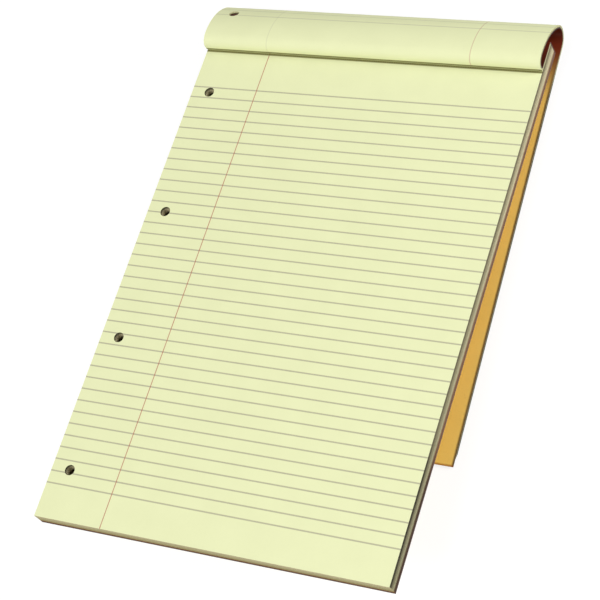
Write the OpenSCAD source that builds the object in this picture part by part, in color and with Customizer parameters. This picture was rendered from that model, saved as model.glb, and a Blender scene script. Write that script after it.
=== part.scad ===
// Stapled writing pad with its cover and first sheets turned back over the head.
// It lies on the turned-back flap: X across the pad, Y towards the head, Z up, all in millimetres.

/* [Sheet] */
// width of the sheets, the board and the cover
sheet_width = 210; // [140:1:300]
// length of a torn-off sheet, from the foot to the perforation
tear_length = 297; // [200:1:420]
// length of the stub that stays under the staples
stub_length = 18; // [14:0.5:30]

/* [Thickness] */
// depth of the sheets that are still flat
pages_depth = 8.4; // [4:0.1:14]
// depth of the bundle of sheets that is turned back
turned_depth = 1; // [0.4:0.1:1.6]
// grey board inside the back
board_depth = 1; // [0.6:0.1:2]
// coated card of the cover
card_depth = 0.4; // [0.3:0.05:0.6]

/* [File holes] */
// diameter of a punched hole
hole_diameter = 6; // [5:0.1:7]
// distance between neighbouring holes
hole_pitch = 80; // [70:1:80]
// distance from the left edge to the centres of the holes
hole_inset = 11.5; // [9:0.5:14]
// number of holes along the edge
hole_count = 4; // [2:1:4]

/* [Turned-back roll] */
// angle between the back of the block and the flap
wedge_angle = 4.5; // [2:0.5:8]
// radius at which the outermost sheet rises from the page
rise_radius = 6.8; // [5:0.1:9]
// how far the crown of the roll bends down before the tighter back bend
crown_turn = 50; // [35:1:60]
// room between the head of the block and the inside of the roll
head_gap = 14.2; // [10:0.2:18]
// room between the back of the block and the flap, at the crease
back_gap = 7.6; // [5:0.2:10]
// room between the turned sheets and the cover inside them
layer_gap = 0.3; // [0.2:0.05:0.5]

/* [Folds] */
// inside radius of the folds of the cover
card_fold = 0.3; // [0.2:0.05:0.5]
// inside radius of the fold of the turned sheets
sheet_fold = 0.3; // [0.2:0.05:0.5]
// straight rise above the folds, before the roll starts to curve
crease_rise = 0.2; // [0.1:0.05:1]

/* [Staples] */
// diameter of the staple wire
wire = 0.7; // [0.5:0.05:0.9]
// width of a staple, from leg to leg
staple_crown = 12; // [9:0.5:16]
// distance of the staples from the head
staple_setback = 8; // [6:0.5:10]
// distance of each staple from the middle of the pad
staple_offset = 55; // [30:1:62]
// length of a leg that is bent over behind the back
clinch = 4.5; // [3:0.25:5]
// inside radius of the bends of the wire
wire_bend = 0.4; // [0.3:0.05:0.8]
// room around a leg in the paper and the card
leg_room = 0.05; // [0.03:0.01:0.1]

/* [Hidden] */
$fn = 144;

// The profile is drawn in the frame of the block: 0 is where the outermost turned sheet leaves the page,
// the first axis runs along the page towards the head and the second one out of the page.
pack = turned_depth + layer_gap + card_depth;
block_depth = pages_depth + board_depth + card_depth;
spine_at = stub_length + card_fold;
strip_top = turned_depth + card_depth;

// Fold of the sheets, and of the cover inside it.
sheet_fold_out = sheet_fold + turned_depth;
card_fold_out = card_fold + card_depth;
card_fold_y = turned_depth + layer_gap + card_fold_out;
card_fold_z = strip_top + card_fold;
rise_at = max(sheet_fold_out, card_fold_z) + crease_rise;

// Radii of the crown and of the back bend, so that the roll clears the head and the back by their gaps.
reach = spine_at + card_depth + head_gap + pack;
drop = rise_at + block_depth + back_gap + pack;
k11 = sin(crown_turn);
k12 = 1 - sin(crown_turn);
k21 = 1 - cos(crown_turn) + tan(wedge_angle) * sin(crown_turn);
k22 = cos(crown_turn) + 1 / cos(wedge_angle) - tan(wedge_angle) * sin(crown_turn);
b1 = reach - rise_radius;
b2 = drop + rise_radius * (1 - tan(wedge_angle));
det = k11 * k22 - k12 * k21;
crown_radius = (b1 * k22 - k12 * b2) / det;
bend_radius = (k11 * b2 - k21 * b1) / det;
back_turn = 180 - wedge_angle - crown_turn;

rise_c = [rise_radius, rise_at];
crown_c = [rise_radius, rise_at + rise_radius - crown_radius];
bend_c = crown_c + (crown_radius - bend_radius) * [sin(crown_turn), cos(crown_turn)];

// Length of a layer that the roll takes up, at a depth below the outermost face.
function arc_length(r, a) = r * a * PI / 180;
function roll_length(d) = arc_length(rise_radius - d, 90) + arc_length(crown_radius - d, crown_turn)
    + arc_length(bend_radius - d, back_turn);
sheet_mid = turned_depth / 2;
card_mid = turned_depth + layer_gap + card_depth / 2;
sheet_root = arc_length(sheet_fold + turned_depth / 2, 90) + rise_at - sheet_fold_out;
card_root = arc_length(card_fold + card_depth / 2, 90) + rise_at - card_fold_z;
sheet_flap = tear_length + sheet_fold_out - sheet_root - roll_length(sheet_mid);
card_flap = tear_length + card_fold_y - card_root - roll_length(card_mid);

// Lie of the block: the outside of the flap comes down to Z = 0, and the box is centred on X and Y.
function lie_y(p) = p[0] * cos(wedge_angle) + p[1] * sin(wedge_angle);
function lie_z(p) = p[1] * cos(wedge_angle) - p[0] * sin(wedge_angle);
floor_z = lie_z(bend_c) - bend_radius;
far_y = lie_y(bend_c) + bend_radius;
near_y = lie_y([-tear_length, -block_depth]);
mid_y = (far_y + near_y) / 2;

function hole_y(i) = -tear_length / 2 + (hole_count - 1) / 2 * hole_pitch - i * hole_pitch;
hole_x = -sheet_width / 2 + hole_inset;

module laid() {
    translate([0, -mid_y, -floor_z]) rotate([-wedge_angle, 0, 0]) children();
}

module across(width) {
    rotate([90, 0, 90]) linear_extrude(height = width, center = true) children();
}

module bar(y0, z0, y1, z1) {
    translate([y0, z0]) square([y1 - y0, z1 - z0]);
}

// Points of an arc. The first point is left out, because the stretch before it ends there.
function arc(centre, r, from, to, steps) =
    [for (i = [1:steps]) centre + r * [cos(from + (to - from) * i / steps), sin(from + (to - from) * i / steps)]];
function turned_over(points) = [for (i = [len(points) - 1:-1:0]) points[i]];

// One face of the roll and its flap, at a depth below the outermost face, from the rise to the flap's end.
function roll_face(d, flap) = concat(
    [[d, rise_at]],
    arc(rise_c, rise_radius - d, 180, 90, 24),
    arc(crown_c, crown_radius - d, 90, 90 - crown_turn, 16),
    arc(bend_c, bend_radius - d, 90 - crown_turn, wedge_angle - 90, 36),
    [bend_c + (bend_radius - d) * [sin(wedge_angle), -cos(wedge_angle)] - flap * [cos(wedge_angle), sin(wedge_angle)]]);

// A fold of the stub from lying on the block to standing up, about a centre.
function upward_fold(centre, r) = concat([centre - [0, r]], arc(centre, r, 270, 180, 8));

// The two faces of the turned sheets, from the head to the flap's end.
sheet_fold_c = [sheet_fold_out, sheet_fold_out];
sheet_outside = concat([[stub_length, 0]], upward_fold(sheet_fold_c, sheet_fold_out), roll_face(0, sheet_flap));
sheet_inside = concat([[stub_length, turned_depth]], upward_fold(sheet_fold_c, sheet_fold),
                      roll_face(turned_depth, sheet_flap));

// The two faces of the card, from the foot of the back round the spine to the flap's end.
back_corner = [stub_length, card_fold_out - block_depth];
front_corner = [stub_length, turned_depth - card_fold];
card_fold_c = [card_fold_y, card_fold_z];
function card_face(r_corner, r_fold, d) = concat(
    [[-tear_length, back_corner[1] - r_corner], back_corner - [0, r_corner]],
    arc(back_corner, r_corner, -90, 0, 8),
    [front_corner + [r_corner, 0]],
    arc(front_corner, r_corner, 0, 90, 8),
    upward_fold(card_fold_c, r_fold),
    roll_face(d, card_flap));
card_lining = card_face(card_fold, card_fold_out, turned_depth + layer_gap);
card_front = card_face(card_fold_out, card_fold, pack);

// Axis of a hole that was punched a given length from the crease, now on the crown or on the flap.
module at_turned(length) {
    past_fold = length + sheet_fold_out - sheet_root;
    on_crown = past_fold - arc_length(rise_radius - sheet_mid, 90);
    crown_end = arc_length(crown_radius - sheet_mid, crown_turn);
    on_flap = past_fold - roll_length(sheet_mid);
    if (on_crown < crown_end)
        translate([hole_x, crown_c[0], crown_c[1]])
            rotate([-on_crown / (crown_radius - sheet_mid) * 180 / PI, 0, 0])
                translate([0, 0, crown_radius - sheet_mid]) children();
    else
        translate([hole_x, bend_c[0], bend_c[1]]) rotate([wedge_angle, 0, 0])
            translate([0, -on_flap, sheet_mid - bend_radius]) children();
}

module leg_holes() {
    for (s = [-1, 1], l = [-1, 1])
        translate([s * staple_offset + l * (staple_crown - wire) / 2, stub_length - staple_setback,
                   -block_depth - 2])
            cylinder(d = wire + 2 * leg_room, h = block_depth + strip_top + 4, $fn = 32);
}

// Slits that the bends of the wire press into the card beside the legs.
module bend_slits() {
    for (s = [-1, 1], l = [-1, 1])
        translate([s * staple_offset, stub_length - staple_setback, 0]) mirror([l < 0 ? 1 : 0, 0, 0])
            translate([staple_crown / 2 - wire - wire_bend - leg_room, -wire / 2 - leg_room, -block_depth - 2])
                cube([wire_bend + wire / 2 + leg_room, wire + 2 * leg_room, block_depth + strip_top + 4]);
}

module page_block() {
    color("khaki") laid() difference() {
        across(sheet_width) bar(-tear_length, -pages_depth, stub_length, 0);
        for (i = [0:hole_count - 1])
            translate([hole_x, hole_y(i), -pages_depth - 1])
                cylinder(d = hole_diameter, h = pages_depth + 2, $fn = 64);
        leg_holes();
    }
}

module turned_sheets() {
    color("lightyellow") laid() difference() {
        across(sheet_width) polygon(concat(sheet_outside, turned_over(sheet_inside)));
        for (i = [0:hole_count - 1])
            at_turned(-hole_y(i))
                cylinder(d = hole_diameter, h = 4 * turned_depth, center = true, $fn = 64);
        leg_holes();
    }
}

module cover() {
    color("orange") laid() difference() {
        across(sheet_width) polygon(concat(card_lining, turned_over(card_front)));
        leg_holes();
        bend_slits();
    }
}

module back_board() {
    color("lightslategray") laid() difference() {
        across(sheet_width) bar(-tear_length, -pages_depth - board_depth, stub_length, -pages_depth);
        leg_holes();
    }
}

// A quarter bend of wire in the plane of the staple, from pointing along X to pointing down.
module wire_corner() {
    rotate([90, 0, 0]) rotate_extrude(angle = 90, $fn = 64)
        translate([wire_bend + wire / 2, 0]) circle(d = wire, $fn = 32);
}

module staple() {
    half = (staple_crown - wire) / 2;
    turn = wire_bend + wire / 2;
    top = strip_top + wire / 2;
    bottom = -block_depth - wire / 2;
    translate([0, stub_length - staple_setback, 0]) {
        translate([turn - half, 0, top]) rotate([0, 90, 0]) cylinder(d = wire, h = 2 * (half - turn), $fn = 32);
        for (s = [0, 1]) mirror([s, 0, 0]) {
            translate([half - turn, 0, top - turn]) wire_corner();
            translate([half, 0, bottom + turn]) cylinder(d = wire, h = top - bottom - 2 * turn, $fn = 32);
            translate([half - turn, 0, bottom + turn]) mirror([0, 0, 1]) wire_corner();
            translate([half - turn - clinch, 0, bottom]) rotate([0, 90, 0]) cylinder(d = wire, h = clinch, $fn = 32);
        }
    }
}

module left_staple() {
    color("silver") laid() translate([-staple_offset, 0, 0]) staple();
}

module right_staple() {
    color("silver") laid() translate([staple_offset, 0, 0]) staple();
}

page_block();
turned_sheets();
cover();
back_board();
left_staple();
right_staple();
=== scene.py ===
"""Looks of a stapled writing pad that lies on its turned-back cover and first sheets."""

import math
import random

import bmesh
import bpy
import numpy as np
from mathutils import Matrix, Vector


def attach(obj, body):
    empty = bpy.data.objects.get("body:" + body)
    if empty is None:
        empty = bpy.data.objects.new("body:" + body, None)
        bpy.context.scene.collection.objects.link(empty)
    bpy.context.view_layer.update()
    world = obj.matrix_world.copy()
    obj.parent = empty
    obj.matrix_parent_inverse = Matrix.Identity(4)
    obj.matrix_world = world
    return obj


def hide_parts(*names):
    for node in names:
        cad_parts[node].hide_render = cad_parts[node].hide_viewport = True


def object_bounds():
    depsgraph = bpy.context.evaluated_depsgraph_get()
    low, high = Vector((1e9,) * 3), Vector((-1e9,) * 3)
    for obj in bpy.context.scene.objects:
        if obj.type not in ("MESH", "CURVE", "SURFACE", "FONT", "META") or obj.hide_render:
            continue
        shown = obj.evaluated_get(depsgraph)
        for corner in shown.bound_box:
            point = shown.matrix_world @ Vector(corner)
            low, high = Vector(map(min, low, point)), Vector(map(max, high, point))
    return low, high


bpy.ops.wm.read_factory_settings(use_empty=True)
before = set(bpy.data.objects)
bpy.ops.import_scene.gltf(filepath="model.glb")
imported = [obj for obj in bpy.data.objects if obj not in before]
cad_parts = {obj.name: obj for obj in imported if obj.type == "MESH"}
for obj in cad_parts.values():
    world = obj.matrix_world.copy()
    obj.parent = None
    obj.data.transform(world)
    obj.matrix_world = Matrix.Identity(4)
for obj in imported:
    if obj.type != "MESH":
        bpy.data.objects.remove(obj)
cad_lo, cad_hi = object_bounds()

# Sizes of the CAD part, in millimetres. The pad's own frame has 0 at the crease, y towards the head and z out
# of the page.
WIDTH = 210.0
TEAR = 297.0
STUB = 18.0
PAGES = 8.4
TURNED = 1.0
BOARD = 1.0
CARD = 0.4
HOLE_R = 3.0
HOLE_X = 11.5
HOLE_PITCH = 80.0
HOLE_COUNT = 4
WEDGE = math.radians(4.5)
RISE_R = 6.8
CROWN_TURN = math.radians(50)
HEAD_GAP = 14.2
BACK_GAP = 7.6
LAYER_GAP = 0.3
FOLD = 0.3
CREASE_RISE = 0.2

# Sizes that follow from those. HOLES are lengths from the foot.
SHEET = TEAR + STUB
BLOCK = PAGES + BOARD + CARD
PACK = TURNED + LAYER_GAP + CARD
HOLES = [TEAR / 2 + HOLE_PITCH * ((HOLE_COUNT - 1) / 2 - i) for i in range(HOLE_COUNT)]
METRE = 1000.0

# What only the scene has: the bulge of the rise, the number of leaves, and the most by which a leaf is cut
# short, in millimetres.
BELLY = 0.8
FLAT_LEAVES = 40
FLAT_CUT = 0.09
TURNED_LEAVES = 10
TURNED_CUT = 0.07

# Points along the stretches of a profile.
STUB_POINTS = 6
BACK_POINTS = 20
FLAT_POINTS = 10
FOLD_STEPS = 8
RISE_STEPS = 40
CROWN_STEPS = 30
BEND_STEPS = 60
FLAP_STEPS = 25


def roll_shape():
    """Height of the rise, and centres and radii of the roll's three arcs, as the CAD part works them out."""
    rise_at = TURNED + CARD + FOLD + CREASE_RISE
    reach = STUB + FOLD + CARD + HEAD_GAP + PACK
    drop = rise_at + BLOCK + BACK_GAP + PACK
    sine, cosine, slope = math.sin(CROWN_TURN), math.cos(CROWN_TURN), math.tan(WEDGE)
    sums = np.array([
        [sine, 1 - sine],
        [1 - cosine + slope * sine, cosine + 1 / math.cos(WEDGE) - slope * sine],
    ])
    crown, bend = np.linalg.solve(sums, [reach - RISE_R, drop + RISE_R * (1 - slope)])
    rise_c = np.array([RISE_R, rise_at])
    crown_c = np.array([RISE_R, rise_at + RISE_R - crown])
    bend_c = crown_c + (crown - bend) * np.array([sine, cosine])
    return rise_at, rise_c, crown_c, crown, bend_c, bend


RISE_AT, RISE_C, CROWN_C, CROWN_R, BEND_C, BEND_R = roll_shape()


def lie(y, z):
    """From the pad's frame to the frame of the part, still in millimetres and not yet set down."""
    return y * math.cos(WEDGE) + z * math.sin(WEDGE), z * math.cos(WEDGE) - y * math.sin(WEDGE)


FLOOR_Z = lie(*BEND_C)[1] - BEND_R
MID_Y = (lie(*BEND_C)[0] + BEND_R + lie(-TEAR, -BLOCK)[0]) / 2


def arc(centre, radius, start, end, steps):
    """Points of an arc between two angles in degrees, without the first."""
    angles = np.radians(np.linspace(start, end, steps + 1)[1:])
    return np.asarray(centre) + radius * np.c_[np.cos(angles), np.sin(angles)]


def roll_face(depth, flap):
    """A face of the roll and the flap, depth below the outermost face, from the rise to the flap's end."""
    crown_end = 90 - math.degrees(CROWN_TURN)
    bend_end = math.degrees(WEDGE) - 90
    rise = arc(RISE_C, RISE_R - depth, 180, 90, RISE_STEPS)
    rise[:, 0] -= BELLY * np.sin(np.linspace(0, math.pi, RISE_STEPS + 1)[1:])
    crown = arc(CROWN_C, CROWN_R - depth, 90, crown_end, CROWN_STEPS)
    bend = arc(BEND_C, BEND_R - depth, crown_end, bend_end, BEND_STEPS)
    flap_from = BEND_C + (BEND_R - depth) * np.array([math.sin(WEDGE), -math.cos(WEDGE)])
    flap_way = np.array([math.cos(WEDGE), math.sin(WEDGE)])
    flat = flap_from - np.linspace(0, flap, FLAP_STEPS + 1)[1:, None] * flap_way
    return np.vstack([[[depth, RISE_AT]], rise, crown, bend, flat])


def roll_length(depth):
    """Length of the roll's three arcs, depth below the outermost face."""
    rise = (RISE_R - depth) * math.pi / 2
    crown = (CROWN_R - depth) * CROWN_TURN
    bend = (BEND_R - depth) * (math.pi - WEDGE - CROWN_TURN)
    return rise + crown + bend


def sheet_faces():
    """Outer and inner face of the turned sheets, from the head of the stub to the end of the flap."""
    out = FOLD + TURNED
    root = (FOLD + TURNED / 2) * math.pi / 2 + RISE_AT - out
    flap = TEAR + out - root - roll_length(TURNED / 2)
    fold_c = np.array([out, out])
    faces = []
    for depth, radius in ((0, out), (TURNED, FOLD)):
        stub = np.c_[np.linspace(STUB, out, STUB_POINTS), np.full(STUB_POINTS, out - radius)]
        fold = arc(fold_c, radius, 270, 180, FOLD_STEPS)
        faces.append(np.vstack([stub, fold, roll_face(depth, flap)]))
    return faces


def card_faces():
    """Lining and front of the card, from the foot of the back round the spine to the end of the flap."""
    out = FOLD + CARD
    fold_c = np.array([TURNED + LAYER_GAP + out, TURNED + CARD + FOLD])
    root = (FOLD + CARD / 2) * math.pi / 2 + RISE_AT - fold_c[1]
    flap = TEAR + fold_c[0] - root - roll_length(TURNED + LAYER_GAP + CARD / 2)
    back_c = np.array([STUB, out - BLOCK])
    front_c = np.array([STUB, TURNED - FOLD])
    faces = []
    for corner, fold, depth in ((FOLD, out, TURNED + LAYER_GAP), (out, FOLD, PACK)):
        back = np.c_[np.linspace(-TEAR, back_c[0], BACK_POINTS), np.full(BACK_POINTS, back_c[1] - corner)]
        faces.append(np.vstack([
            back,
            arc(back_c, corner, -90, 0, FOLD_STEPS),
            front_c + [corner, 0],
            arc(front_c, corner, 0, 90, FOLD_STEPS),
            fold_c - [0, fold],
            arc(fold_c, fold, 270, 180, FOLD_STEPS),
            roll_face(depth, flap),
        ]))
    return faces


def lengths(face, other):
    """Length along the middle between two faces, at each of their points."""
    middle = (face + other) / 2
    return np.r_[0, np.cumsum(np.linalg.norm(np.diff(middle, axis=0), axis=1))]


# Grid of points on a leaf, in millimetres: a square frame of points round each hole, which other rows keep
# clear of, and the step that gives a face's direction at its end.
COLUMNS = 7
FRAME_HALF = 4.0
FRAME_SPANS = 8
FRAME_STEPS = np.linspace(-FRAME_HALF, FRAME_HALF, FRAME_SPANS + 1)
FRAME_ROOM = 0.01
SAME = 1e-4
END_STEP = 0.5
SHARP = math.radians(28)

# Places of a pile's materials on its object.
OUTER = 0
INNER = 1
EDGE = 2


def spread(base, extra):
    """Sorted values of base and extra, without near doubles."""
    values = np.sort(np.r_[base, extra])
    return values[np.r_[True, np.diff(values) > SAME]]


def nearest(values, wanted):
    """Index of the value nearest to the one wanted."""
    return int(np.argmin(np.abs(values - wanted)))


def loop_round(rows, columns):
    """Row and column of each point round the outside of a grid."""
    loop = [(0, column) for column in range(columns)]
    loop += [(row, columns - 1) for row in range(1, rows)]
    loop += [(rows - 1, column) for column in range(columns - 2, -1, -1)]
    loop += [(row, 0) for row in range(rows - 2, 0, -1)]
    return loop


FRAME_LOOP = loop_round(FRAME_SPANS + 1, FRAME_SPANS + 1)


def add_object(name, data):
    obj = bpy.data.objects.new(name, data)
    bpy.context.scene.collection.objects.link(obj)
    return obj


class Pile:
    """A pile of leaves between two faces. along is the length down the sheet of each point of the faces, rows
    are the lengths that get a row of points, and holes are the lengths of the punched holes. Each leaf is cut
    short by up to jitter, so that the edges show the leaves, and fan is how much further each leaf reaches
    than the one outside it."""

    def __init__(self, outer, inner, along, rows, leaves, seed, jitter=0.0, holes=(), fan=0.0):
        order = np.argsort(along)
        self.along = along[order]
        self.profile = [face[order, axis] for face in (outer, inner) for axis in (0, 1)]
        self.leaves = leaves
        self.holes = holes
        self.fan = fan
        self.set_grid(rows)
        draw = random.Random(seed)
        self.cut = [[draw.uniform(-jitter, 0) for side in range(4)] for leaf in range(leaves)]
        self.bore = [[HOLE_R + draw.uniform(-0.5, 0.5) * jitter for leaf in range(leaves)] for hole in holes]
        self.bm = bmesh.new()
        self.pad = []

    def set_grid(self, rows):
        """Rows and columns of points, with the frames round the holes and the corner where each begins."""
        columns = np.linspace(0, WIDTH, COLUMNS)
        for hole in self.holes:
            rows = spread(rows[np.abs(rows - hole) > FRAME_HALF + FRAME_ROOM], hole + FRAME_STEPS)
        if self.holes:
            columns = spread(columns, HOLE_X + FRAME_STEPS)
        left = nearest(columns, HOLE_X - FRAME_HALF)
        self.corners = [(nearest(rows, hole - FRAME_HALF), left) for hole in self.holes]
        self.rows = rows
        self.columns = columns
        self.rim = loop_round(len(rows), len(columns))

    def in_frames(self, first):
        """Places in the grid inside the frames, counted from first in each."""
        span = range(first, FRAME_SPANS)
        return {(row + a, column + b) for row, column in self.corners for a in span for b in span}

    def at(self, x, length, depth):
        """A place in metres, depth of the way from the outer to the inner face."""
        y_out, z_out, y_in, z_in = [np.interp(length, self.along, values) for values in self.profile]
        y, z = lie(y_out + (y_in - y_out) * depth, z_out + (z_in - z_out) * depth)
        return np.array([x - WIDTH / 2, y - MID_Y, z - FLOOR_Z]) / METRE

    def point(self, x, length, depth):
        """A new point. Past the first or the last row it goes straight on from the end of the faces."""
        inside = min(max(length, self.rows[0]), self.rows[-1])
        place = self.at(x, inside, depth)
        if length != inside:
            before = self.at(x, inside + math.copysign(END_STEP, inside - length), depth)
            way = (place - before) / np.linalg.norm(place - before)
            place = place + way * abs(length - inside) / METRE
        self.pad.append((x / METRE, inside / METRE))
        return self.bm.verts.new(place)

    def leaf_point(self, row, column, leaf, depth):
        """A new point of a leaf, which is cut a little short on its four sides."""
        x = self.columns[column]
        length = self.rows[row]
        left, right, start, end = self.cut[leaf]
        if column == 0:
            x = x - left
        elif column == len(self.columns) - 1:
            x = x + right
        if row == 0:
            length = length - start + self.fan * ((self.leaves - 1) / 2 - leaf)
        elif row == len(self.rows) - 1:
            length = length + end
        return self.point(x, length, depth)

    def face_points(self, leaf, depth):
        """Points of a whole face, apart from those inside the frames."""
        hidden = self.in_frames(1)
        places = [(row, column) for row in range(len(self.rows)) for column in range(len(self.columns))]
        return {place: self.leaf_point(*place, leaf, depth) for place in places if place not in hidden}

    def rim_points(self, leaf, depth):
        """Points round the outside of a leaf."""
        return [self.leaf_point(row, column, leaf, depth) for row, column in self.rim]

    def hole_points(self, hole, leaf, depth):
        """Points round a hole of a leaf, one for each point of the frame."""
        points = []
        for row, column in FRAME_LOOP:
            way = np.array([FRAME_STEPS[column], FRAME_STEPS[row]])
            way = way / np.linalg.norm(way) * self.bore[hole][leaf]
            points.append(self.point(HOLE_X + way[0], self.holes[hole] + way[1], depth))
        return points

    def frame_points(self, grid, hole):
        """Points of a face that frame a hole."""
        first_row, first_column = self.corners[hole]
        return [grid[first_row + row, first_column + column] for row, column in FRAME_LOOP]

    def quad(self, points, material):
        self.bm.faces.new(points).material_index = material

    def fill(self, grid, material):
        """Quads of a whole face, open at the frames."""
        framed = self.in_frames(0)
        for row in range(len(self.rows) - 1):
            for column in range(len(self.columns) - 1):
                if (row, column) in framed:
                    continue
                corners = ((row, column), (row, column + 1), (row + 1, column + 1), (row + 1, column))
                self.quad([grid[corner] for corner in corners], material)

    def band(self, loop, other, material):
        """Quads between two loops of points."""
        for i in range(len(loop)):
            after = (i + 1) % len(loop)
            self.quad((loop[i], loop[after], other[after], other[i]), material)

    def build(self):
        """Points and quads of the pile, leaf by leaf from the outer face to the inner."""
        top = self.face_points(0, 0.0)
        bottom = self.face_points(self.leaves - 1, 1.0)
        self.fill(top, OUTER)
        self.fill(bottom, INNER)
        rim = [top[place] for place in self.rim]
        bores = []
        for hole in range(len(self.holes)):
            bores.append(self.hole_points(hole, 0, 0.0))
            self.band(self.frame_points(top, hole), bores[hole], OUTER)
        for leaf in range(self.leaves):
            last = leaf == self.leaves - 1
            depth = (leaf + 1) / self.leaves
            low = [bottom[place] for place in self.rim] if last else self.rim_points(leaf, depth)
            self.band(rim, low, EDGE)
            for hole in range(len(self.holes)):
                circle = self.hole_points(hole, leaf, depth)
                self.band(bores[hole], circle, EDGE)
                if last:
                    self.band(self.frame_points(bottom, hole), circle, INNER)
                else:
                    bores[hole] = self.hole_points(hole, leaf + 1, depth)
                    self.band(circle, bores[hole], EDGE)
            if not last:
                rim = self.rim_points(leaf + 1, depth)
                self.band(low, rim, EDGE)

    def make(self, name):
        """The pile as an object, with a UV map of the width and the length in metres."""
        self.build()
        bmesh.ops.recalc_face_normals(self.bm, faces=self.bm.faces)
        self.bm.verts.index_update()
        layer = self.bm.loops.layers.uv.new("pad")
        for face in self.bm.faces:
            face.smooth = True
            for corner in face.loops:
                corner[layer].uv = self.pad[corner.vert.index]
        for edge in self.bm.edges:
            if len(edge.link_faces) == 2 and edge.calc_face_angle(0.0) > SHARP:
                edge.smooth = False
        mesh = bpy.data.meshes.new(name)
        self.bm.to_mesh(mesh)
        self.bm.free()
        return add_object(name, mesh)


def srgb(red, green, blue):
    """A colour of 0 to 255 as Blender's linear colour."""
    def linear(value):
        share = value / 255
        return share / 12.92 if share <= 0.04045 else ((share + 0.055) / 1.055) ** 2.4
    return (linear(red), linear(green), linear(blue), 1.0)


class Nodes:
    """A node tree, with short calls for what is used here."""

    def __init__(self, tree):
        self.tree = tree

    def add(self, kind, **values):
        node = self.tree.nodes.new("ShaderNode" + kind)
        for key, value in values.items():
            setattr(node, key, value)
        return node

    def link(self, source, target):
        self.tree.links.new(source, target)

    def put(self, socket, value):
        """Sets a socket to a value, or links another socket to it."""
        if hasattr(value, "links"):
            self.link(value, socket)
        else:
            socket.default_value = value

    def math(self, operation, first, second=0.0, clamp=False):
        node = self.add("Math", operation=operation, use_clamp=clamp)
        self.put(node.inputs[0], first)
        self.put(node.inputs[1], second)
        return node.outputs[0]

    def product(self, first, *others):
        for other in others:
            first = self.math("MULTIPLY", first, other)
        return first

    def apart(self, value, middle):
        """Distance of a value from a middle."""
        return self.math("ABSOLUTE", self.math("SUBTRACT", value, middle))

    def off_lines(self, value, pitch):
        """Distance to the nearest of a row of lines, as a share of their pitch."""
        return self.math("PINGPONG", self.math("DIVIDE", value, pitch), 0.5)

    def ramp(self, value, span, start, end, smooth=False):
        """From start to end while the value goes through the span."""
        node = self.add("MapRange", interpolation_type="SMOOTHSTEP" if smooth else "LINEAR")
        for socket, setting in zip(node.inputs, (value, *span, start, end)):
            self.put(socket, setting)
        return node.outputs[0]

    def rise(self, value, span, most=1.0, smooth=False):
        return self.ramp(value, span, 0.0, most, smooth)

    def fade(self, value, span, most=1.0, smooth=False):
        return self.ramp(value, span, most, 0.0, smooth)

    def mix(self, factor, first, second):
        """Mix of two colours. The node's numbered sockets are those for colours."""
        node = self.add("Mix", data_type="RGBA")
        self.put(node.inputs["Factor"], factor)
        self.put(node.inputs[6], first)
        self.put(node.inputs[7], second)
        return node.outputs[2]

    def tint(self, colour, factor, shade):
        return self.mix(factor, colour, srgb(*shade))

    def split(self, vector):
        """The three parts of a vector."""
        node = self.add("SeparateXYZ")
        self.link(vector, node.inputs[0])
        return list(node.outputs)

    def seen(self):
        """1 for rays that show the thing itself: to the camera, in gloss and through glass."""
        path = self.add("LightPath")
        direct = self.math("MAXIMUM", path.outputs["Is Camera Ray"], path.outputs["Is Glossy Ray"])
        return self.math("MAXIMUM", direct, path.outputs["Is Transmission Ray"])


class Material(Nodes):
    """A material and its node tree."""

    def __init__(self, name):
        self.mat = bpy.data.materials.new(name)
        self.mat.use_nodes = True
        super().__init__(self.mat.node_tree)
        self.bsdf = self.tree.nodes["Principled BSDF"]

    def pad(self):
        """Width across and length along the sheet, in metres."""
        return self.split(self.add("UVMap", uv_map="pad").outputs["UV"])[:2]

    def place(self, scale=(1, 1, 1), turn=0.0):
        """Object coordinates, turned about X and then scaled."""
        node = self.add("Mapping", vector_type="TEXTURE")
        node.inputs["Rotation"].default_value = (-turn, 0, 0)
        node.inputs["Scale"].default_value = [1 / value for value in scale]
        self.link(self.add("TexCoord").outputs["Object"], node.inputs["Vector"])
        return node.outputs["Vector"]

    def noise(self, vector, scale=1.0, detail=2.0, rough=0.5):
        node = self.add("TexNoise")
        self.link(vector, node.inputs["Vector"])
        node.inputs["Scale"].default_value = scale
        node.inputs["Detail"].default_value = detail
        node.inputs["Roughness"].default_value = rough
        return node.outputs["Fac"]

    def surface(self, colour, roughness, gloss=0.5, metal=0.0):
        self.put(self.bsdf.inputs["Base Color"], colour)
        self.put(self.bsdf.inputs["Roughness"], roughness)
        self.put(self.bsdf.inputs["Specular IOR Level"], gloss)
        self.put(self.bsdf.inputs["Metallic"], metal)

    def bump(self, height, strength, distance):
        node = self.add("Bump")
        node.inputs["Strength"].default_value = strength
        node.inputs["Distance"].default_value = distance
        self.link(height, node.inputs["Height"])
        self.link(node.outputs["Normal"], self.bsdf.inputs["Normal"])


# Spans of a noise's values: a wide and a narrow one about the middle, and the highest.
WIDE = (0.3, 0.7)
NARROW = (0.35, 0.65)
HIGH = (0.6, 0.8)

# Print on the sheets, in metres from the left edge or from the foot. A span is how far from a line's middle
# its full ink reaches and where the ink ends, for a rule in shares of the pitch.
RULE_PITCH = 0.007
RULE_SPAN = (0.02, 0.09)
RULE_ROOM = 0.003
TOP_RULE = 0.2718
BACK_TOP_RULE = 0.2702
LAST_RULE = 0.0158
MARGIN = 0.0418
BACK_MARGIN = 0.169
MARGIN_SPAN = (0.00018, 0.00036)
MARGIN_INK = 0.85
BACK_INK = 0.45
SHOWN_INK = 0.14

# Perforation at the crease, with a painted shade line along it, in metres, with the length of a slit in
# shares of its pitch.
TEAR_LINE = 0.2967
CREASE_SHADE_SPAN = (0.0005, 0.001)
SLIT_PITCH = 0.0014
SLIT_LENGTH_SPAN = (0.3, 0.34)
SLIT_WIDTH_SPAN = (0.00014, 0.0002)

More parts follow.
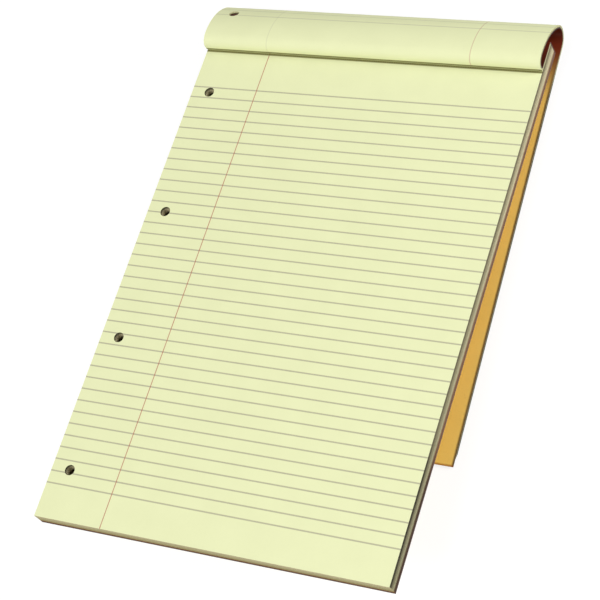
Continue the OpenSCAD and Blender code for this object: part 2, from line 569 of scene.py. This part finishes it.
PAPER = (238, 242, 192)
PAPER_CLOUD = (235, 239, 189)
PAPER_FIBRE = (222, 226, 172)
RULE_COLOUR = (178, 174, 147)
MARGIN_COLOUR = (180, 92, 74)
SHOWN_COLOUR = (120, 110, 110)
CREASE_SHADE_COLOUR = (108, 102, 14)
SLIT_COLOUR = (60, 54, 16)
CLOUD_HEIGHT = 0.5


def paper(name, margin, top_rule, strength=1.0, shown_margin=None):
    """Ruled yellow paper. margin is where the margin line stands, top_rule where the rules begin, strength is
    that of the ink, and shown_margin is where the other side's margin shows through."""
    m = Material(name)
    across, along = m.pad()
    grain = m.place()
    cloud = m.rise(m.noise(grain, scale=60, detail=4), WIDE)
    fibre = m.noise(grain, scale=900, detail=3, rough=0.6)
    ink = m.ramp(m.noise(grain, scale=2500), (0.3, 0.6), 0.75, 1.0)
    colour = m.mix(cloud, srgb(*PAPER_CLOUD), srgb(*PAPER))
    colour = m.tint(colour, m.rise(fibre, (0.55, 0.75), most=0.10), PAPER_FIBRE)

    rule = m.fade(m.off_lines(m.math("SUBTRACT", top_rule, along), RULE_PITCH), RULE_SPAN, smooth=True)
    below_top = m.math("LESS_THAN", along, top_rule + RULE_ROOM)
    above_foot = m.math("GREATER_THAN", along, LAST_RULE)
    colour = m.tint(colour, m.product(rule, below_top, above_foot, ink, strength), RULE_COLOUR)

    lines = [(margin, MARGIN_INK * strength, MARGIN_COLOUR)]
    if shown_margin:
        lines.append((shown_margin, SHOWN_INK, SHOWN_COLOUR))
    for at, dark, shade in lines:
        line = m.fade(m.apart(across, at), MARGIN_SPAN, smooth=True)
        colour = m.tint(colour, m.product(line, ink, dark), shade)

    off_tear = m.apart(along, TEAR_LINE)
    # Painted shade of the crease along the tear line.
    colour = m.tint(colour, m.fade(off_tear, CREASE_SHADE_SPAN, most=0.8, smooth=True), CREASE_SHADE_COLOUR)
    slit = m.product(
        m.fade(m.off_lines(across, SLIT_PITCH), SLIT_LENGTH_SPAN, most=0.8, smooth=True),
        m.fade(off_tear, SLIT_WIDTH_SPAN, smooth=True),
    )
    colour = m.tint(colour, slit, SLIT_COLOUR)

    m.surface(colour, roughness=m.ramp(cloud, (0, 1), 0.62, 0.72), gloss=0.3)
    m.bump(m.math("ADD", fibre, m.product(cloud, CLOUD_HEIGHT)), strength=0.25, distance=0.00006)
    return m.mat


# Darkening of the cut edges, partly painted shade. Spans are in metres: out from the middle, along the sheet
# from the foot, or down from the front of the pile.
HALF_WIDTH = WIDTH / 2 / METRE
PILE_BACK = PAGES / METRE
SIDE_SPAN = (HALF_WIDTH - 0.0008, HALF_WIDTH - 0.0004)
FOOT_SPAN = (0.0001, 0.0006)
FOOTWARD_SPAN = (0.0, 0.3)
LOW_SPAN = (0.055, 0.085)
LOW_DARKNESS = 0.75
FRONT_BAND = (0.0008, 0.005)
LOW_FRONT_BAND = (0.0014, 0.0036)
BACK_BAND = (PILE_BACK - 0.0024, PILE_BACK - 0.001)
LOW_BACK_BAND = (PILE_BACK - 0.0026, PILE_BACK - 0.001)
HOLE_RIM_BAND = (0.001, 0.0026)
HOLE_DEEP_BAND = (0.0045, 0.006)
FLAP_EDGE_SHADE_SPAN = (0.212, 0.232)

# Scales of the leaves and of the broader stripes that they make in a cut edge.
LEAF_SCALE = (14, 14, 9000)
STRIPE_SCALE = (8, 8, 700)

FLAT_DARK = (172, 163, 128)
FLAT_PALE = (238, 228, 190)
TURNED_DARK = (150, 146, 104)
TURNED_PALE = (222, 220, 172)
# Of the colours below, those for the front, the back, the holes and the flap are painted shade.
FOOTWARD_COLOUR = (90, 96, 60)
FRONT_SHADE_COLOUR = (70, 62, 40)
FOOT_COLOUR = (140, 130, 66)
BACK_SHADE_COLOUR = (112, 54, 26)
LOW_COLOUR = (30, 26, 18)
HOLE_RIM_SHADE = (46, 44, 18)
HOLE_DEEP_SHADE = (30, 28, 16)
FLAP_EDGE_SHADE_COLOUR = (54, 47, 38)


def darken_flat_edges(m, colour):
    """Darkening of the flat pile's cut edges. Painted shade: a grey band at the front of the sides, a
    red-brown band at their back, and dark walls in the holes. Also the sides are darker towards the foot,
    with dark bands at their front and back near it, and the foot is darker towards the back."""
    across, along = m.pad()
    front = -(MID_Y * math.sin(WEDGE) + FLOOR_Z * math.cos(WEDGE)) / METRE
    deep = m.math("SUBTRACT", front, m.split(m.place(turn=WEDGE))[2])
    foot = m.fade(along, FOOT_SPAN)
    side = m.math("SUBTRACT", m.rise(m.apart(across, HALF_WIDTH), SIDE_SPAN), foot, clamp=True)
    wall = m.math("SUBTRACT", m.math("SUBTRACT", 1.0, side), foot, clamp=True)
    low = m.product(side, m.fade(along, LOW_SPAN, LOW_DARKNESS, smooth=True))
    for amount, shade in (
        (m.product(side, m.fade(along, FOOTWARD_SPAN, most=0.6)), FOOTWARD_COLOUR),
        # Painted shade: a grey band at the front of the sides.
        (m.product(side, m.fade(deep, FRONT_BAND, most=0.8)), FRONT_SHADE_COLOUR),
        (m.product(foot, m.ramp(deep, (0.0, PILE_BACK), 0.2, 0.9)), FOOT_COLOUR),
        # Painted shade: dark walls in the holes, at their rim and deep down.
        (m.product(wall, m.fade(deep, HOLE_RIM_BAND, most=0.92)), HOLE_RIM_SHADE),
        (m.product(wall, m.rise(deep, HOLE_DEEP_BAND, most=0.85)), HOLE_DEEP_SHADE),
        # Painted shade: a red-brown band at the back of the sides.
        (m.rise(deep, BACK_BAND, most=0.8), BACK_SHADE_COLOUR),
        # Dark bands at the front and back of the sides near the foot.
        (m.product(low, m.fade(deep, LOW_FRONT_BAND)), LOW_COLOUR),
        (m.product(low, m.rise(deep, LOW_BACK_BAND)), LOW_COLOUR),
    ):
        colour = m.tint(colour, amount, shade)
    return colour


def shade_turned_edges(m, colour):
    """Painted shade on the turned sheets: their edges are dark along the flap, near the floor."""
    along = m.pad()[1]
    return m.tint(colour, m.fade(along, FLAP_EDGE_SHADE_SPAN, most=0.9, smooth=True), FLAP_EDGE_SHADE_COLOUR)


def paper_edge(name, turn, dark, pale, darken):
    """Cut edges of a pile of sheets: fine lines along the sheets, paler and darker leaves, and darkening that
    is partly painted shade.
    """
    m = Material(name)
    leaf = m.noise(m.place(LEAF_SCALE, turn), detail=3, rough=0.7)
    stripe = m.noise(m.place(STRIPE_SCALE, turn), detail=1)
    mean = [(low + high) / 2 for low, high in zip(dark, pale)]
    colour = m.mix(m.rise(leaf, NARROW), srgb(*dark), srgb(*pale))
    colour = m.tint(colour, m.rise(stripe, (0.4, 0.6), most=0.5), mean)
    m.surface(darken(m, colour), roughness=0.8, gloss=0.2)
    m.bump(leaf, strength=0.5, distance=0.00008)
    return m.mat


# Stretches of the card, in metres: how far the painted shade inside the roll takes to fade before the spine
# and after the bend, the stretch of darkest painted shade after the spine, and the dark lines at the flap's
# sides, painted shade, and at its end.
SPINE = SHEET / METRE
SPINE_SPAN = (SPINE - 0.03, SPINE)
BEND_BLEND = 0.035
RISE_START_SPAN = (SPINE, SPINE + 0.03)
RISE_END_SPAN = (SPINE + 0.06, SPINE + 0.085)
FLAP_SIDE_SPAN = (HALF_WIDTH - 0.0015, HALF_WIDTH - 0.0006)
FLAP_END_FROM = 0.0013
FLAP_END_TO = 0.0006

# Painted shade: the deep colours inside the roll and the darkest stretch after the spine.
CARD_LOOP_SHADE = (138, 52, 26)
CARD_ORANGE = (249, 213, 114)
# Painted shade: dark colours of the card's cut edges and of the lines at the flap's sides.
CUT_LOOP_SHADE = (84, 36, 24)
CUT_EDGE_SHADE = (92, 44, 26)
RISE_SHADE = (36, 14, 10)
FLAP_SIDE_SHADE = (58, 38, 34)
FLAP_END_COLOUR = (158, 84, 22)
CARD_LOW_COLOUR = (52, 16, 14)
CLOUD_LIGHT = 8
FLECK_GREEN = 20


def card(name, deep, tone, bend, end, low_darkness=0.0):
    """Coated card with faint flecks. Between the spine and the bend it takes the deep colour, painted shade
    of the inside of the roll, darkest just after the spine, and the flap's sides get dark lines of painted
    shade. bend and end are the lengths at which the flap begins and ends, and low_darkness is how dark the
    card is near the foot."""
    m = Material(name)
    across, along = m.pad()
    grain = m.place()
    cloud = m.noise(grain, scale=25, detail=4)
    fleck = m.noise(grain, scale=1400, detail=3, rough=0.6)
    flap = m.rise(along, (bend, bend + BEND_BLEND), smooth=True)
    pale = m.math("MAXIMUM", flap, m.fade(along, SPINE_SPAN, smooth=True))
    light = [min(255, value + CLOUD_LIGHT) for value in tone]
    outside = m.mix(m.rise(cloud, WIDE), srgb(*tone), srgb(*light))
    # Painted shade inside the roll: the deep colour between the spine and the bend.
    colour = m.mix(pale, srgb(*deep), outside)
    colour = m.tint(colour, m.rise(fleck, HIGH, most=0.25), (deep[0], deep[1] + FLECK_GREEN, deep[2]))
    # Painted shade: darkest just after the spine, inside the roll.
    rise = m.product(m.rise(along, RISE_START_SPAN), m.fade(along, RISE_END_SPAN, most=0.8, smooth=True))
    # Painted shade: dark lines at the flap's sides.
    side = m.product(m.rise(m.apart(across, HALF_WIDTH), FLAP_SIDE_SPAN, most=0.85), flap)
    end_span = (end - FLAP_END_FROM, end - FLAP_END_TO)
    colour = m.tint(colour, rise, RISE_SHADE)
    colour = m.tint(colour, side, FLAP_SIDE_SHADE)
    colour = m.tint(colour, m.rise(along, end_span, most=0.7), FLAP_END_COLOUR)
    colour = m.tint(colour, m.fade(along, LOW_SPAN, low_darkness, smooth=True), CARD_LOW_COLOUR)
    m.surface(colour, roughness=m.ramp(cloud, WIDE, 0.36, 0.5), gloss=0.45)
    m.bump(fleck, strength=0.15, distance=0.00004)
    return m.mat


FIBRE_SCALE = (400, 400, 5000)
BOARD_DARK = (90, 64, 52)
BOARD_PALE = (118, 90, 76)
BOARD_SPECK = (60, 46, 40)
BOARD_LOW_COLOUR = (44, 22, 16)


def board(name):
    """Board pressed from waste paper: specks and short fibres, dark near the foot."""
    m = Material(name)
    grain = m.place()
    speck = m.noise(grain, scale=1800)
    fibre = m.noise(m.place(FIBRE_SCALE, WEDGE), detail=3)
    low_span = [cad_lo[1] + value for value in LOW_SPAN]
    low = m.fade(m.split(grain)[1], low_span, LOW_DARKNESS, smooth=True)
    colour = m.mix(m.rise(fibre, NARROW), srgb(*BOARD_DARK), srgb(*BOARD_PALE))
    colour = m.tint(colour, m.rise(speck, (0.62, 0.72), most=0.7), BOARD_SPECK)
    colour = m.tint(colour, low, BOARD_LOW_COLOUR)
    m.surface(colour, roughness=0.9)
    m.bump(fibre, strength=0.5, distance=0.0001)
    return m.mat


SCRATCH_SCALE = (60, 4000, 4000)
STEEL_DARK = (176, 178, 180)
STEEL_PALE = (208, 209, 210)


def steel(name):
    """Drawn wire: bright, with fine scratches along it."""
    m = Material(name)
    scratch = m.noise(m.place(SCRATCH_SCALE))
    colour = m.mix(m.rise(scratch, WIDE), srgb(*STEEL_DARK), srgb(*STEEL_PALE))
    m.surface(colour, roughness=m.ramp(scratch, WIDE, 0.24, 0.36), metal=1.0)
    m.bump(scratch, strength=0.1, distance=0.00002)
    return m.mat


def dress(obj, node, materials):
    """Gives a piece its materials, and puts it in the place of its CAD node."""
    for material in materials:
        obj.data.materials.append(material)
    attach(obj, "root")
    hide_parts(node)


recto = paper("ruled_recto", MARGIN, TOP_RULE)
verso = paper("ruled_verso", BACK_MARGIN, BACK_TOP_RULE, BACK_INK, MARGIN)


def flat_sheets():
    """The sheets that lie flat. Lengths run from the foot to the head."""
    ends = np.array([0.0, SHEET])
    front = np.c_[ends - TEAR, [0.0, 0.0]]
    back = np.c_[ends - TEAR, [-PAGES, -PAGES]]
    rows = spread(np.linspace(0, SHEET, FLAT_POINTS), [TEAR])
    pile = Pile(front, back, ends, rows, FLAT_LEAVES, seed=3, jitter=FLAT_CUT, holes=HOLES)
    edge = paper_edge("sheet_edges", WEDGE, FLAT_DARK, FLAT_PALE, darken_flat_edges)
    dress(pile.make("pages"), "page_block", [recto, recto, edge])


def turned_sheets():
    """The sheets turned over the head. Lengths run as on the flat sheets, and the roll fans the leaves."""
    outside, inside = sheet_faces()
    along = SHEET - lengths(outside, inside)
    fan = TURNED / TURNED_LEAVES * (math.pi - WEDGE)
    rows = np.sort(along)
    pile = Pile(outside, inside, along, rows, TURNED_LEAVES, seed=5, jitter=TURNED_CUT, holes=HOLES, fan=fan)
    edge = paper_edge("turned_edges", 0.0, TURNED_DARK, TURNED_PALE, shade_turned_edges)
    dress(pile.make("turned_leaves"), "turned_sheets", [verso, recto, edge])


def cover():
    """The card. Lengths run from the foot of its back."""
    lining, front = card_faces()
    along = lengths(lining, front)
    pile = Pile(front, lining, along, along, leaves=1, seed=7)
    bend = next(length for length, y in zip(along[::-1], front[::-1, 0]) if y > BEND_C[0]) / METRE
    end = along[-1] / METRE
    # The deep colours are painted shade inside the roll.
    face = card("orange_card", CARD_LOOP_SHADE, CARD_ORANGE, bend, end)
    # The card's edge colours are painted shade.
    edge = card("card_edge_painted_shade", CUT_LOOP_SHADE, CUT_EDGE_SHADE, bend, end, LOW_DARKNESS)
    dress(pile.make("cover_card"), "cover", [face, face, edge])


flat_sheets()
turned_sheets()
cover()

# CAD nodes whose shape stays.
for node, material in (
    ("back_board", board("grey_board")),
    ("left_staple", steel("staple_wire")),
    ("right_staple", steel("staple_wire_b")),
):
    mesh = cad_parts[node].data
    mesh.materials.clear()
    mesh.materials.append(material)

# Floor, world, lamps and camera, in metres, with the sensor and the lens in millimetres.
FLOOR_HALF = 1.5
FLOOR_DROP = 0.0001
FLOOR_LIT = 0.8
FLOOR_SEEN = 0.26
FLOOR_GLOW = 0.83
WORLD_LIGHT = 0.3
WORLD_SEEN = 1.0
WHITE = (1, 1, 1, 1)
SENSOR = 36.0
LENS = 114.105
CAMERA_AT = (0.465642, -0.315897, 0.892775)
CAMERA_TO = (-0.008984, -0.009426, 0.0)
CAMERA_ROLL = math.radians(-45.1783)
CLIP = (0.05, 50.0)


def floor_paint(name):
    """Matt paint that looks nearly white, keeps the object's shadow, and throws light back as pale grey."""
    m = Material(name)
    m.tree.nodes.remove(m.bsdf)
    lit = m.add("BsdfDiffuse")
    shaded = m.add("BsdfDiffuse")
    glow = m.add("Emission")
    shown = m.add("AddShader")
    paint = m.add("MixShader")
    lit.inputs["Color"].default_value = (FLOOR_LIT, FLOOR_LIT, FLOOR_LIT, 1)
    shaded.inputs["Color"].default_value = (FLOOR_SEEN, FLOOR_SEEN, FLOOR_SEEN, 1)
    glow.inputs["Strength"].default_value = FLOOR_GLOW
    m.link(shaded.outputs[0], shown.inputs[0])
    m.link(glow.outputs[0], shown.inputs[1])
    m.link(m.seen(), paint.inputs[0])
    m.link(lit.outputs[0], paint.inputs[1])
    m.link(shown.outputs[0], paint.inputs[2])
    m.link(paint.outputs[0], m.tree.nodes["Material Output"].inputs["Surface"])
    return m.mat


def floor():
    signs = ((-1, -1), (1, -1), (1, 1), (-1, 1))
    mesh = bpy.data.meshes.new("floor")
    mesh.from_pydata([(x * FLOOR_HALF, y * FLOOR_HALF, -FLOOR_DROP) for x, y in signs], [], [(0, 1, 2, 3)])
    mesh.materials.append(floor_paint("floor"))
    add_object("floor", mesh)


def studio():
    """Weak light from all round, which is white where it is seen itself."""
    world = bpy.data.worlds.new("studio")
    bpy.context.scene.world = world
    world.use_nodes = True
    nodes = Nodes(world.node_tree)
    background = nodes.tree.nodes["Background"]
    background.inputs["Color"].default_value = WHITE
    nodes.link(nodes.ramp(nodes.seen(), (0, 1), WORLD_LIGHT, WORLD_SEEN), background.inputs["Strength"])


def aim(at, to, roll=0.0):
    """Place and direction of a lamp or a camera that looks from at to to, rolled about that line."""
    back = np.array(at) - np.array(to)
    back = back / np.linalg.norm(back)
    level = np.cross([0, 0, 1], back)
    level = level / np.linalg.norm(level)
    steep = np.cross(back, level)
    right = math.cos(roll) * level + math.sin(roll) * steep
    up = math.cos(roll) * steep - math.sin(roll) * level
    return Matrix([[right[i], up[i], back[i], at[i]] for i in range(3)] + [[0, 0, 0, 1]])


def lamp(name, at, size, watts):
    """A square lamp that looks at the origin, under the middle of the object."""
    light = bpy.data.lights.new(name, "AREA")
    light.shape = "SQUARE"
    light.size = size
    light.energy = watts
    add_object(name, light).matrix_world = aim(at, (0, 0, 0))


def camera():
    lens = bpy.data.cameras.new("camera")
    lens.sensor_width = SENSOR
    lens.lens = LENS
    lens.clip_start, lens.clip_end = CLIP
    obj = add_object("camera", lens)
    obj.matrix_world = aim(CAMERA_AT, CAMERA_TO, CAMERA_ROLL)
    bpy.context.scene.camera = obj


floor()
studio()
lamp("key", at=(-0.7, -1.5, 2.1), size=1.2, watts=40)
lamp("rim", at=(1.25, 0.45, 0.75), size=0.8, watts=14)
camera()
bpy.context.scene.view_settings.view_transform = "Standard"
